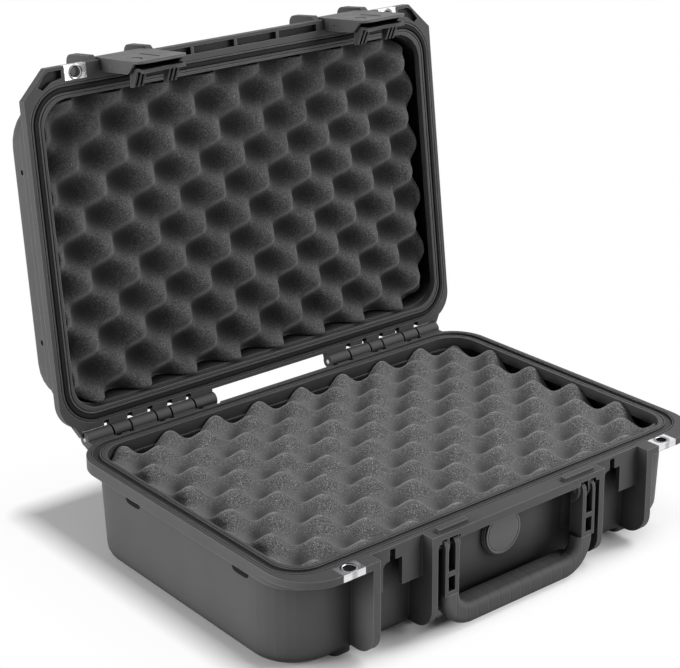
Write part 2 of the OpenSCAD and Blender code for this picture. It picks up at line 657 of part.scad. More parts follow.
module handle_frame() place_base() color(plastic) {
    for (s = [-1, 1]) difference() {
        translate([s * (arm_in + arm_w / 2), 0, 0]) along_x(-arm_w / 2, arm_w / 2) {
            translate([-handle_pivot_y, -handle_pivot_z]) circle(handle_t / 2);
            translate([-handle_y, -grip_top]) square([handle_t, grip_top - handle_pivot_z]);
        }
        // Window between the two strands, open at the top, and the small window below it.
        window_in = s > 0 ? arm_in + strand_in : -handle_x + strand_out;
        window_w = arm_w - strand_in - strand_out;
        translate([window_in, -handle_y - 1, -cross_bar[0]]) cube([window_w, handle_t + 2, cross_bar[0]]);
        translate([window_in, -handle_y - 1, -grip_top + 4])
            cube([window_w, handle_t + 2, grip_top - 4 - cross_bar[1]]);
        bar_x(s * handle_x - 20, s * handle_x + 20, -handle_pivot_y, -handle_pivot_z,
              handle_pin_d / 2 + pin_fit);
    }
    translate([0, core_w / 2 - handle_pivot_y, 0]) rotate([90, 0, 0])
        linear_extrude(core_w) core_front();
}

// Grip: one rounded section along the bar, round both corners and up to the arms.
module handle_grip() place_base() color(rubber) difference() {
    translate([0, -handle_pivot_y, 0]) {
        translate([-grip_turn_x, 0, grip_h / 2 - handle_bottom]) rotate([90, 0, 90])
            linear_extrude(2 * grip_turn_x) rounded_rect(handle_t, grip_h, grip_round);
        for (s = [-1, 1]) {
            translate([s * grip_turn_x, 0, grip_turn_z]) intersection() {
                rotate([90, 0, 0]) rotate_extrude($fn = 96) translate([grip_inner_r + grip_h / 2, 0])
                    rounded_rect(grip_h, handle_t, grip_round);
                translate([s > 0 ? 0 : -50, -25, -50]) cube(50);
            }
            translate([s * (handle_x - grip_h / 2), 0, grip_turn_z])
                linear_extrude(-grip_top - grip_turn_z) rounded_rect(grip_h, handle_t, grip_round);
        }
    }
    translate([0, core_w / 2 - handle_pivot_y, 0]) rotate([90, 0, 0])
        linear_extrude(core_w) core_front();
}

module handle_pin(side) place_base() color(steel)
    bar_x(side > 0 ? inner_lug_x - lug_t / 2 : -handle_rib_x - 2,
          side > 0 ? handle_rib_x + 2 : -inner_lug_x + lug_t / 2,
          -handle_pivot_y, -handle_pivot_z, handle_pin_d / 2);

module on_valve() place_base() translate([0, -valve_seat_y, -valve_z]) rotate([90, 0, 0]) children();

module valve_body() on_valve() color(plastic) difference() {
    union() {
        cylinder(d = valve_d + 2, h = valve_flange_t);
        translate([0, 0, -valve_grip - valve_nut_t - 1])
            cylinder(d = valve_stem_d, h = valve_grip + valve_nut_t + 2);
    }
    translate([0, 0, -valve_grip - valve_nut_t - 2])
        cylinder(d = valve_stem_d - 4, h = valve_grip + valve_nut_t + 2.4);
    // Seat of the sealing ring under the flange.
    rotate_extrude() translate([valve_stem_d / 2 + 4, 0]) circle(1.3);
}

module valve_cap() on_valve() color(plastic)
    translate([0, 0, valve_flange_t]) rotate_extrude($fn = 96) difference() {
        square([valve_d / 2, valve_cap_t]);
        translate([valve_d / 2 - 2.4, valve_cap_t - 0.5]) square([0.8, 1]);
    }

module valve_o_ring() on_valve() color(rubber)
    rotate_extrude() translate([valve_stem_d / 2 + 4, 0]) intersection() {
        circle(1.25);
        translate([-2, 0]) square([4, 2]);
    }

module valve_nut() on_valve() color(plastic) translate([0, 0, -valve_grip - valve_nut_t]) difference() {
    cylinder(r = valve_stem_d / 2 + 4, h = valve_nut_t, $fn = 6);
    translate([0, 0, -1]) cylinder(d = valve_stem_d + 2 * pin_fit, h = valve_nut_t + 2);
}

module valve_membrane() on_valve() color("white")
    translate([0, 0, -0.4]) cylinder(d = valve_stem_d - 4, h = 0.8);

// Egg-crate pad: bumps in offset rows on a flat block with rounded corners, one bump's
// crest at crest_x and crest_y. Its underside is drawn in by foot_in on every side.
module egg_crate(w, d, thick, crest_x, crest_y, foot_in = 0) {
    cell_x = foam_pitch / 4;
    cell_y = foam_row_pitch / 4;
    core_x = w / 2 - pad_round;
    core_y = d / 2 - pad_round;
    // Grid lines through the crests and hollows, closed off by the pad's two edges.
    function lines(half, crest, cell) = let (
        k0 = ceil((4 - half - crest) / cell), k1 = floor((half - 4 - crest) / cell))
        concat([[-half, k0 - 1]], [for (k = [k0:k1]) [crest + k * cell, k]], [[half, k1 + 1]]);
    xs = lines(w / 2, crest_x, cell_x);
    ys = lines(d / 2, crest_y, cell_y);
    nx = len(xs) - 1;
    ny = len(ys) - 1;
    function height(x, y) = thick - foam_wave / 2 + foam_wave / 2 *
        cos(360 * (x - crest_x) / foam_pitch) * cos(360 * (y - crest_y) / foam_row_pitch);
    // Draws a grid point beyond a rounded corner back onto it.
    function drawn_in(x, y) = let (
        u = max(0, abs(x) - core_x), v = max(0, abs(y) - core_y), k = min(1, pad_round / max(0.01, norm([u, v]))))
        [sign(x) * (min(abs(x), core_x) + u * k), sign(y) * (min(abs(y), core_y) + v * k)];
    grid = [for (y = ys, x = xs) drawn_in(x[0], y[0])];
    function at(i, j) = j * (nx + 1) + i;
    skin = [for (j = [0:ny - 1], i = [0:nx - 1]) each
        (xs[i][1] + ys[j][1]) % 2 == 0
            ? [[at(i, j), at(i + 1, j + 1), at(i + 1, j)], [at(i, j), at(i, j + 1), at(i + 1, j + 1)]]
            : [[at(i, j), at(i, j + 1), at(i + 1, j)], [at(i + 1, j), at(i, j + 1), at(i + 1, j + 1)]]];
    rim = concat([for (i = [0:nx]) at(i, 0)], [for (j = [1:ny]) at(nx, j)],
                 [for (i = [nx - 1:-1:0]) at(i, ny)], [for (j = [ny - 1:-1:1]) at(0, j)]);
    count = len(grid);
    n = len(rim);
    foot = [for (k = rim) [grid[k][0] * (1 - 2 * foot_in / w), grid[k][1] * (1 - 2 * foot_in / d), 0]];
    sides = [for (k = [0:n - 1]) let (m = (k + 1) % n) each
        [[rim[k], rim[m], count + m], [rim[k], count + m, count + k]]];
    polyhedron(concat([for (p = grid) [p[0], p[1], height(p[0], p[1])]], foot),
               concat(skin, sides, [[for (k = [0:n - 1]) count + k]]), convexity = 6);
}

pad_w = rim_w - 2 * rim_width - 2 * seat_gap;
pad_d = 2 * (wall_y - wall - seat_gap - 24 * tan(draft));
top_pad_z = -1.5 - top_pad_t;
low_pad_w = 2 * (wall_x - wall - seat_gap - base_floor * tan(draft));
low_pad_d = 2 * (wall_y - wall - seat_gap - base_floor * tan(draft));
low_pad_edge = edge_r - wall;

module lid_foam() place_lid() color(lid_foam_grey)
    translate([0, 0, lid_floor]) mirror([0, 0, 1])
        egg_crate(pad_w - 6, pad_d - 1, lid_floor - 4, -9, 0, lid_edge_r - wall);

module base_foam_top() place_base() color(foam_grey)
    translate([0, 0, top_pad_z]) egg_crate(pad_w, pad_d, top_pad_t, 12, -24);

module base_foam_bottom() place_base() color(foam_grey) difference() {
    union() {
        translate([0, 0, low_pad_edge - base_floor])
            linear_extrude(base_floor - low_pad_edge + top_pad_z)
                rounded_rect(low_pad_w, low_pad_d, body_r);
        translate([0, 0, -base_floor]) linear_extrude(base_floor + top_pad_z)
            rounded_rect(low_pad_w - 2 * low_pad_edge, low_pad_d - 2 * low_pad_edge, body_r);
    }
    // Room for the valve's nut and stem.
    valve_room = valve_stem_d + 12;
    translate([-valve_room / 2, -wall_y, -valve_z - valve_room / 2])
        cube([valve_room, wall + valve_nut_t + 9, valve_z + valve_room]);
}

base_shell();
lid_shell();
lid_gasket();
hinge_pin(-1);  // hinge_pin_left
hinge_pin(1);  // hinge_pin_right
latch_body(-1);  // latch_body_left
latch_body(1);  // latch_body_right
latch_trigger(-1);  // latch_trigger_left
latch_trigger(1);  // latch_trigger_right
latch_pin(-1);  // latch_pin_left
latch_pin(1);  // latch_pin_right
trigger_pin(-1);  // trigger_pin_left
trigger_pin(1);  // trigger_pin_right
trigger_spring(-1);  // trigger_spring_left
trigger_spring(1);  // trigger_spring_right
handle_frame();
handle_grip();
handle_pin(-1);  // handle_pin_left
handle_pin(1);  // handle_pin_right
valve_body();
valve_cap();
valve_o_ring();
valve_nut();
valve_membrane();
place_base() padlock_plate(-1, false);  // padlock_plate_base_left
place_base() padlock_plate(1, false);  // padlock_plate_base_right
place_lid() padlock_plate(-1, true);  // padlock_plate_lid_left
place_lid() padlock_plate(1, true);  // padlock_plate_lid_right
lid_foam();
base_foam_top();
base_foam_bottom();
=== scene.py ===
"""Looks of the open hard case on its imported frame: plastic, egg-crate foam, steel and fine detail."""

import json
import math

import bmesh
import bpy
from mathutils import Matrix, Vector


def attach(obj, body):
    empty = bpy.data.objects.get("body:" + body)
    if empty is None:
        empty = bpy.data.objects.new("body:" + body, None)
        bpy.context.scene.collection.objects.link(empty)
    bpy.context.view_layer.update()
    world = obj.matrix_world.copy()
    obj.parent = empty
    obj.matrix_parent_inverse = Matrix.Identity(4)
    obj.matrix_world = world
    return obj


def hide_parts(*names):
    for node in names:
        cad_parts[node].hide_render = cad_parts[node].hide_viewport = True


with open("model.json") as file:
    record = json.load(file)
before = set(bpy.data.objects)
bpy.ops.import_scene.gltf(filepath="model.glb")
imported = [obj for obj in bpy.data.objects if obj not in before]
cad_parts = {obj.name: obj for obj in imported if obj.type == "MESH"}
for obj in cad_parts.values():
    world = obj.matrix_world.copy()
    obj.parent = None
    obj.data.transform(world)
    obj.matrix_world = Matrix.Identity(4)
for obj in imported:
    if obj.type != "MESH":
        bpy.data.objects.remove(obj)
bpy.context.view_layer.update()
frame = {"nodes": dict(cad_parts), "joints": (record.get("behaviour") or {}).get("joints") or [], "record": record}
nodes = frame["nodes"]

# ---------------------------------------------------------------- the CAD's own frame
# Sizes in millimetres, as in the closed case: X right, Y back, Z up from the parting plane.
OPEN = math.radians(96.5)  # angle between the open lid and the closed one
HINGE = (162.0, 0.15)  # Y and Z of the hinge's axis
hinge_pos = next(j for j in frame["joints"] if j["name"] == "lid_hinge")["pos_m"]
CENTRE_Y = HINGE[0] - 1000 * hinge_pos[1]
BASE_H = 1000 * hinge_pos[2] - HINGE[1]


def base_pt(x, y, z):
    """World place in metres of a point on the base."""
    return Vector((x, y - CENTRE_Y, z + BASE_H)) / 1000


def lid_pt(x, y, z):
    """World place in metres of a point on the lid, which is drawn closed and stands open."""
    dy, dz = y - HINGE[0], z - HINGE[1]
    return base_pt(x, HINGE[0] + dy * math.cos(OPEN) + dz * math.sin(OPEN),
                   HINGE[1] - dy * math.sin(OPEN) + dz * math.cos(OPEN))


def closed_box(node, lid):
    """Lowest and highest corner of a node in the closed case's millimetres."""
    points = []
    for v in nodes[node].data.vertices:
        x, y, z = (1000 * c for c in v.co)
        y, z = y + CENTRE_Y, z - BASE_H
        if lid:
            dy, dz = y - HINGE[0], z - HINGE[1]
            y = HINGE[0] + dy * math.cos(OPEN) - dz * math.sin(OPEN)
            z = HINGE[1] + dy * math.sin(OPEN) + dz * math.cos(OPEN)
        points.append((x, y, z))
    return [min(p[i] for p in points) for i in range(3)], [max(p[i] for p in points) for i in range(3)]


# ---------------------------------------------------------------- materials
BLACK, WHITE = (0, 0, 0, 1), (1, 1, 1, 1)
NOISE_LOW, NOISE_HIGH = 0.3, 0.7  # between these lie most of a noise's values


def even(value):
    """Colour with the same linear value in all channels."""
    return (value, value, value, 1)


def grey(level):
    """Linear colour of an sRGB grey from 0 to 255, with a trace of blue."""
    c = level / 255
    v = c / 12.92 if c <= 0.04045 else ((c + 0.055) / 1.055) ** 2.4
    return (v, v, v * 1.015, 1)


class Mat:
    """Small helper that wires a Principled material."""

    def __init__(self, name):
        self.mat = bpy.data.materials.new(name)
        self.mat.use_nodes = True
        self.tree = self.mat.node_tree
        self.bsdf = self.tree.nodes["Principled BSDF"]
        self.coord = self.add("ShaderNodeTexCoord").outputs["Object"]

    def add(self, kind, **values):
        n = self.tree.nodes.new(kind)
        for k, v in values.items():
            setattr(n, k, v)
        return n

    def link(self, a, b):
        self.tree.links.new(a, b)

    def put(self, socket, value):
        """Links a socket to an output, or sets it to a plain value."""
        if hasattr(value, "links"):
            self.link(value, socket)
        else:
            socket.default_value = value

    def set(self, name, value):
        self.put(self.bsdf.inputs[name], value)

    def noise(self, scale, detail=3, rough=0.5, coord=None):
        n = self.add("ShaderNodeTexNoise")
        n.inputs["Scale"].default_value = scale
        n.inputs["Detail"].default_value = detail
        n.inputs["Roughness"].default_value = rough
        self.link(coord or self.coord, n.inputs["Vector"])
        return n.outputs["Fac"]

    def ramp(self, value, *stops):
        n = self.add("ShaderNodeValToRGB")
        while len(n.color_ramp.elements) < len(stops):
            n.color_ramp.elements.new(0.5)
        for e, (p, c) in zip(n.color_ramp.elements, stops):
            e.position, e.color = p, c
        self.link(value, n.inputs["Fac"])
        return n.outputs["Color"]

    def mottled(self, noise, low, high):
        """Colour that goes from low to high with a noise."""
        return self.ramp(noise, (NOISE_LOW, low), (NOISE_HIGH, high))

    def bump(self, height, strength, distance, below=None):
        n = self.add("ShaderNodeBump")
        n.inputs["Strength"].default_value = strength
        n.inputs["Distance"].default_value = distance
        self.link(height, n.inputs["Height"])
        if below is not None:
            self.link(below, n.inputs["Normal"])
        return n.outputs["Normal"]

    def mix(self, fac, a, b, blend="MIX"):
        n = self.add("ShaderNodeMix", data_type="RGBA", blend_type=blend)
        for socket, value in ((n.inputs[0], fac), (n.inputs[6], a), (n.inputs[7], b)):
            self.put(socket, value)
        return n.outputs[2]

    def maths(self, operation, a, b=None):
        n = self.add("ShaderNodeMath", operation=operation)
        self.put(n.inputs[0], a)
        if b is not None:
            self.put(n.inputs[1], b)
        return n.outputs["Value"]

    def vector(self, operation, a, b=None):
        """Result of a vector operation; a length and a dot product come as a plain number."""
        n = self.add("ShaderNodeVectorMath", operation=operation)
        self.put(n.inputs[0], a)
        if b is not None:
            self.put(n.inputs[1], b)
        return n.outputs["Value" if operation in ("LENGTH", "DOT_PRODUCT") else "Vector"]

    def bevel(self, radius, samples):
        n = self.add("ShaderNodeBevel", samples=samples)
        n.inputs["Radius"].default_value = radius
        return n.outputs["Normal"]


# Lengths in metres. The plastic's edges look rounded by EDGE_ROUND. Their colour is lightened there as a painted
# highlight, where that
# rounding turns the normal: fully at the first cosine and not at all at the second.
EDGE_ROUND, EDGE_SAMPLES = 0.0008, 4
EDGE_HIGHLIGHT_FULL, EDGE_HIGHLIGHT_NONE = 0.86, 0.985
# The base's outer corners look rounder: past CORNER_X to each side, and CORNER_DROP mm under the rim.
CORNER_ROUND, CORNER_SAMPLES = 0.0045, 8
CORNER_X, CORNER_DROP = 0.181, 12
# Painted shade: places with walls within PAINTED_SHADE_REACH are darkened in colour, down to PAINTED_SHADE_DARK at
# the deepest.
PAINTED_SHADE_REACH, PAINTED_SHADE_SAMPLES = 0.032, 4
PAINTED_SHADE_DEEP, PAINTED_SHADE_OPEN, PAINTED_SHADE_DARK = 0.20, 0.90, 0.08
MOTTLE_SCALE, SMUDGE_SCALE, GRAIN_SCALE, GRAIN_DEPTH = 30, 60, 2600, 0.0002
GLOSS_DOWN, GLOSS_UP = 0.05, 0.07  # how far the roughness strays from its middle
PLASTIC_SPECULAR = 0.12


def softened_corners(m, normal):
    """Normal that blends over the outer corners of the base's walls and stays as it is elsewhere."""
    parts = m.add("ShaderNodeSeparateXYZ")
    m.link(m.coord, parts.inputs[0])
    aside = m.maths("GREATER_THAN", m.maths("ABSOLUTE", parts.outputs["X"]), CORNER_X)
    under = m.maths("LESS_THAN", parts.outputs["Z"], (BASE_H - CORNER_DROP) / 1000)
    blend = m.add("ShaderNodeMix", data_type="VECTOR")
    m.link(m.maths("MULTIPLY", aside, under), blend.inputs[0])
    m.link(normal, blend.inputs[4])
    m.link(m.bevel(CORNER_ROUND, CORNER_SAMPLES), blend.inputs[5])
    return blend.outputs[1]


def moulded(name, level, rough=0.5, grain=0.25, spread=2, edge=62, grooves=None, corners=False):
    """Moulded plastic or rubber: pebble grain and faint mottling, with painted shade that darkens the colour near
    walls and a painted highlight that lightens the edges by edge grey levels.
    """
    m = Mat(name)
    colour = m.mottled(m.noise(MOTTLE_SCALE, 4, 0.6), grey(level - spread), grey(level + spread))
    normal = m.bevel(EDGE_ROUND, EDGE_SAMPLES)
    facing = m.vector("DOT_PRODUCT", normal, m.add("ShaderNodeNewGeometry").outputs["Normal"])
    # Painted highlight: the edges' colour is lightened where the rounded normal turns away.
    edge_highlight = m.ramp(facing, (EDGE_HIGHLIGHT_FULL, WHITE), (EDGE_HIGHLIGHT_NONE, BLACK))
    colour = m.mix(edge_highlight, colour, grey(level + edge))
    # Painted shade: the colour is darkened where walls stand near, as shade would fall there.
    corner = m.add("ShaderNodeAmbientOcclusion", samples=PAINTED_SHADE_SAMPLES)
    corner.inputs["Distance"].default_value = PAINTED_SHADE_REACH
    shade = m.ramp(corner.outputs["AO"], (PAINTED_SHADE_DEEP, even(PAINTED_SHADE_DARK)), (PAINTED_SHADE_OPEN, WHITE))
    m.set("Base Color", m.mix(1, colour, shade, "MULTIPLY"))
    m.set("Roughness", m.mottled(m.noise(SMUDGE_SCALE), even(rough - GLOSS_DOWN), even(rough + GLOSS_UP)))
    if corners:
        normal = softened_corners(m, normal)
    normal = m.bump(m.noise(GRAIN_SCALE, 2), grain, GRAIN_DEPTH, normal)
    if grooves:
        normal = m.bump(grooves(m), GROOVE_STRENGTH, GROOVE_DEPTH, normal)
    m.set("Normal", normal)
    m.set("Specular IOR Level", PLASTIC_SPECULAR)
    return m.mat


GROOVE_PITCH, GROOVE_DEPTH, GROOVE_STRENGTH = 0.012, 0.0005, 0.5
GROOVE_SHARE = 0.07  # share of the wave's height in which a groove lies
WAVE_FACTOR = 20  # a wave texture of scale 1 repeats every 2 pi / 20 metres


def grip_grooves(m):
    """Height of shallow grooves across the grip."""
    wave = m.add("ShaderNodeTexWave", wave_type="BANDS", bands_direction="X", wave_profile="SIN")
    wave.inputs["Scale"].default_value = 2 * math.pi / (WAVE_FACTOR * GROOVE_PITCH)
    m.link(m.coord, wave.inputs["Vector"])
    return m.ramp(wave.outputs["Fac"], (0.0, BLACK), (GROOVE_SHARE, WHITE))


CELL_SCALE, CELL_STOPS, CELL_DEPTH, CELL_STRENGTH = 700, (0.38, 0.60), 0.0007, 0.7
SPECK_SCALE, SPECK_STOPS = 1500, (0.58, 0.68)
PAINTED_HOLLOW_STOPS = (0.35, 1.0)  # depth at which the painted hollow tone starts, and where it is full
FOAM_ROUGH, FOAM_SPECULAR, FOAM_SHEEN_ROUGH = 0.95, 0.1, 0.35


def foam_mat(name, hollow, low, high, speck, sheen):
    """Open-cell foam: matte, dark in its cells, with pale specks; hollow is a grey painted into the hollows in
    place of their light and shade.
    """
    m = Mat(name)
    cells = m.noise(CELL_SCALE, 3, 0.8)
    body = m.ramp(cells, (CELL_STOPS[0], grey(low)), (CELL_STOPS[1], grey(high)))
    bright = m.ramp(m.noise(SPECK_SCALE, 2, 0.7), (SPECK_STOPS[0], BLACK), (SPECK_STOPS[1], WHITE))
    speckled = m.mix(bright, body, grey(speck))
    depth = m.add("ShaderNodeAttribute", attribute_name="depth").outputs["Fac"]
    # Painted light and shade: the hollows take the hollow grey, whatever light reaches them.
    painted_hollow_mask = m.ramp(depth, (PAINTED_HOLLOW_STOPS[0], BLACK), (PAINTED_HOLLOW_STOPS[1], WHITE))
    m.set("Base Color", m.mix(painted_hollow_mask, speckled, grey(hollow)))
    m.set("Roughness", FOAM_ROUGH)
    m.set("Normal", m.bump(cells, CELL_STRENGTH, CELL_DEPTH))
    m.set("Specular IOR Level", FOAM_SPECULAR)
    m.set("Sheen Weight", sheen)
    m.set("Sheen Roughness", FOAM_SHEEN_ROUGH)
    return m.mat


DRAWN_SCALE = (40, 900, 900)  # the drawn lines run along X
DRAWN_DARKER, DRAWN_LIGHTER, DRAWN_DEPTH, DRAWN_STRENGTH = 12, 8, 0.0002, 0.1
TARNISH_SCALE, TARNISH_ROUGH = 90, 0.1
# Tones and heights round a hole, by distance from its axis as a share of RIM_SPAN metres. The tones are painted
# shade and highlight of the pressed rim: dark at the hole's edge, lighter on the rim's rise and darker again past
# its crest.
RIM_SPAN, RIM_DEPTH, RIM_STRENGTH = 0.010, 0.0008, 0.8
RIM_PAINTED_TONES = ((0.46, 70), (0.52, 215), (0.60, 120), (0.78, 255))
RIM_HEIGHTS = ((0.45, 0), (0.56, 1), (0.7, 0.3))


def metal(name, level, rough, hole=None):
    """Brushed steel with fine drawn lines; hole gives the place and axis of a hole with a pressed rim, whose light
    and shade are painted into the colour.
    """
    m = Mat(name)
    stretch = m.add("ShaderNodeMapping")
    stretch.inputs["Scale"].default_value = DRAWN_SCALE
    m.link(m.coord, stretch.inputs["Vector"])
    lines = m.noise(1, 2, 0.5, stretch.outputs["Vector"])
    colour = m.mottled(lines, grey(level - DRAWN_DARKER), grey(level + DRAWN_LIGHTER))
    normal = m.bump(lines, DRAWN_STRENGTH, DRAWN_DEPTH)
    if hole:
        offset = m.vector("SUBTRACT", m.coord, hole["pos_m"])
        radius = m.vector("LENGTH", m.vector("CROSS_PRODUCT", offset, hole["axis"]))
        steps = m.add("ShaderNodeMapRange")
        steps.inputs["From Max"].default_value = RIM_SPAN
        m.link(radius, steps.inputs["Value"])
        out = steps.outputs["Result"]
        # Painted shade and highlight round the hole, multiplied into the steel's colour.
        rim = m.ramp(out, *((p, grey(tone)) for p, tone in RIM_PAINTED_TONES))
        colour = m.mix(1, colour, rim, "MULTIPLY")
        height = m.ramp(out, *((p, even(h)) for p, h in RIM_HEIGHTS))
        normal = m.bump(height, RIM_STRENGTH, RIM_DEPTH, normal)
    m.set("Base Color", colour)
    m.set("Roughness", m.mottled(m.noise(TARNISH_SCALE), even(rough), even(rough + TARNISH_ROUGH)))
    m.set("Normal", normal)
    m.set("Metallic", 1)
    return m.mat


# Greys are sRGB levels from 0 to 255.
shell = moulded("shell_plastic", 74, corners=True)
lid_plastic = moulded("lid_plastic", 72)
latch = moulded("latch_plastic", 78, rough=0.42, grain=0.12)
trigger = moulded("trigger_plastic", 64, rough=0.45, grain=0.12)
handle = moulded("handle_plastic", 72, rough=0.5, grain=0.2)
grip = moulded("grip_rubber", 80, rough=0.55, grain=0.3, grooves=grip_grooves)
valve = moulded("valve_plastic", 98, rough=0.45, grain=0.15)
dark = moulded("recess_shade", 16, rough=0.8, grain=0.1, spread=1, edge=4)
seal = moulded("seal_rubber", 24, rough=0.6, grain=0.2, spread=2, edge=14)
membrane = moulded("membrane_cloth", 215, rough=0.9, grain=0.3, spread=4, edge=10)
steel = metal("pin_steel", 190, 0.22)
# The base pad's hollows are painted lighter than its foam, as painted light against their shade; the lid pad's are
# painted darker, as painted shade.
base_foam = foam_mat("base_foam", hollow=108, low=61, high=98, speck=200, sheen=0.42)
lid_foam = foam_mat("lid_foam", hollow=46, low=52, high=86, speck=150, sheen=0.25)
PLATE_LEVEL, PLATE_ROUGH = 226, 0.2

LOOKS = {"base_shell": shell, "lid_shell": lid_plastic, "lid_gasket": seal, "handle_frame": handle,
         "handle_grip": grip, "valve_o_ring": seal, "valve_membrane": membrane, "lid_foam": lid_foam,
         "base_foam_top": base_foam, "base_foam_bottom": base_foam}
LOOKS_BY_START = (("latch_body", latch), ("latch_trigger", trigger), ("valve", valve), ("", steel))

for name, obj in nodes.items():
    if name.startswith("padlock_plate"):
        hole = next(h for h in frame["record"]["mounts"] if h["name"] == name.replace("plate", "hole"))
        mat = metal(name, PLATE_LEVEL, PLATE_ROUGH, hole)
    else:
        mat = LOOKS.get(name) or next(look for start, look in LOOKS_BY_START if name.startswith(start))
    obj.data.materials.clear()
    obj.data.materials.append(mat)


def mesh_object(name, verts, faces):
    mesh = bpy.data.meshes.new(name)
    mesh.from_pydata([tuple(v) for v in verts], [], faces)
    mesh.update()
    obj = bpy.data.objects.new(name, mesh)
    bpy.context.scene.collection.objects.link(obj)
    return obj


def finish_piece(obj, mat, body, smooth=True):
    """Gives a piece its material, and ties it to a body of the frame and a material slot."""
    obj.data.materials.append(mat)
    if smooth:
        for p in obj.data.polygons:
            p.use_smooth = True
    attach(obj, body)


# ---------------------------------------------------------------- egg-crate foam
PAD_CORNER = 26  # corner radius of a pad, seen from above
PAD_STEP = 2.2  # spacing of the mesh
PAD_RINGS = 6  # rings of faces down a pad's sides
SIDE_DEPTH = 0.5  # the shader's depth at the foot of the sides, which sets their share of the painted hollow tone
LEAST = 0.01  # keeps a division from meeting zero


def inside_corners(x, y, w, d):
    """A point of the grid over a box of width w and depth d, moved inside the pad's rounded corners."""
    flat_x, flat_y = w / 2 - PAD_CORNER, d / 2 - PAD_CORNER
    u, v = max(0, abs(x) - flat_x), max(0, abs(y) - flat_y)
    k = min(1, PAD_CORNER / max(LEAST, math.hypot(u, v)))
    return (math.copysign(min(abs(x), flat_x) + u * k, x),
            math.copysign(min(abs(y), flat_y) + v * k, y))


def bump_depth(x, y, steep, pitch, shift):
    """0 on a crest and 1 in a hollow; steep makes the bumps rounder and their flanks steeper."""
    a = math.cos(2 * math.pi * (x - shift[0]) / pitch[0])
    a *= math.cos(2 * math.pi * (y - shift[1]) / pitch[1])
    return 0.5 - 0.5 * math.tanh(steep * a) / math.tanh(steep)


def egg_crate(name, node, lid, wave, steep, pitch, shift, drawn_in, mat, body):
    """Closed pad whose face is a field of rounded bumps, cut to the box of the node that it replaces.

    wave is the bumps' height, pitch and shift their spacing and place along X and Y, and drawn_in how
    much narrower the pad's back is than its face.
    """
    place = lid_pt if lid else base_pt
    lowest, highest = closed_box(node, lid)
    w, d = 2 * highest[0], highest[1] - lowest[1]
    low, top =(highest[2], lowest[2]) if lid else (lowest[2], highest[2])
    up = 1 if top > low else -1
    nx, ny = int(w / PAD_STEP), int(d / PAD_STEP)
    row = nx + 1
    pts = [inside_corners(w * (i / nx - .5), d * (j / ny - .5), w, d)
           for j in range(ny + 1) for i in range(row)]
    shade = [bump_depth(x, y, steep, pitch, shift) for x, y in pts]
    heights = [top - up * wave * s for s in shade]
    verts = [place(x, y, z) for (x, y), z in zip(pts, heights)]
    corners = [j * row + i for j in range(ny) for i in range(nx)]
    faces = [(a, a + 1, a + row + 1, a + row) for a in corners]
    rim = ([i for i in range(nx)] + [(j + 1) * row - 1 for j in range(ny)] +
           [ny * row + i for i in range(nx, 0, -1)] + [j * row for j in range(ny, 0, -1)])
    count, n = len(verts), len(rim)
    for k in range(1, PAD_RINGS + 1):
        t = k / PAD_RINGS
        for a in rim:
            (x, y), z = pts[a], heights[a]
            verts.append(place(x * (1 - drawn_in * t / w), y * (1 - drawn_in * t / d), z + (low - z) * t))
            shade.append(min(1, shade[a] * (1 - t) + SIDE_DEPTH * t))
    for k in range(PAD_RINGS):
        upper = rim if k == 0 else [count + (k - 1) * n + i for i in range(n)]
        lower = [count + k * n + i for i in range(n)]
        faces += [(upper[(i + 1) % n], upper[i], lower[i], lower[(i + 1) % n]) for i in range(n)]
    faces.append(tuple(count + (PAD_RINGS - 1) * n + i for i in range(n)))
    obj = mesh_object(name, verts, faces)
    # The depth also sets the painted hollow tone in the foam's colour.
    obj.data.attributes.new("depth", "FLOAT", "POINT").data.foreach_set("value", shade)
    finish_piece(obj, mat, body)
    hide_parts(node)


egg_crate("base_foam_surface", "base_foam_top", lid=False, wave=17, steep=0.5, pitch=(49.7, 54),
          shift=(11.5, -24), drawn_in=0.5, mat=base_foam, body="base")
egg_crate("lid_foam_surface", "lid_foam", lid=True, wave=24, steep=0.8, pitch=(50.3, 54),
          shift=(-9.1, 0), drawn_in=10, mat=lid_foam, body="lid")


# ---------------------------------------------------------------- small marks and recesses
MARK_THICK = 0.00018  # a mark's thickness in metres


def laid_on(name, node, outline, way, mat, body):
    """Thin closed piece with this outline (points in metres), laid on a node's surface along way.

    Where a line from the outline misses the node, nothing is laid.
    """
    low, high = [], []
    for point in outline:
        hit, place, normal, _ = nodes[node].ray_cast(Vector(point), Vector(way))
        if not hit:
            return
        low.append(place)
        high.append(place + normal * MARK_THICK)
    n = len(outline)
    faces = [tuple(range(n, 2 * n)), tuple(reversed(range(n)))]
    faces += [(i, (i + 1) % n, n + (i + 1) % n, n + i) for i in range(n)]
    finish_piece(mesh_object(name, low + high, faces), mat, body, smooth=False)


def strip(points, width):
    """Closed outline of a line of this width through points, each across and along."""
    left, right = [], []
    for i, (u, v) in enumerate(points):
        a, b = points[max(0, i - 1)], points[min(len(points) - 1, i + 1)]
        length = math.hypot(b[0] - a[0], b[1] - a[1])
        du, dv = (b[1] - a[1]) / length * width / 2, -(b[0] - a[0]) / length * width / 2
        left.append((u + du, v + dv))
        right.append((u - du, v - dv))
    return left + right[::-1]


# Thumb marks on the latches. X is from the cover's middle and Z from the parting plane.
MARK_WIDTH, MARK_START = 1.3, 20  # start: how far in front of the latch the lines to it begin
ARC_X, ARC_BULGE, ARC_TOP, ARC_LENGTH, ARC_STEPS = -13.5, 3.2, -30, 15, 12
LINE_X, LINE_TOP, LINE_LENGTH, LINE_STEPS = 4, -17, 29, 6

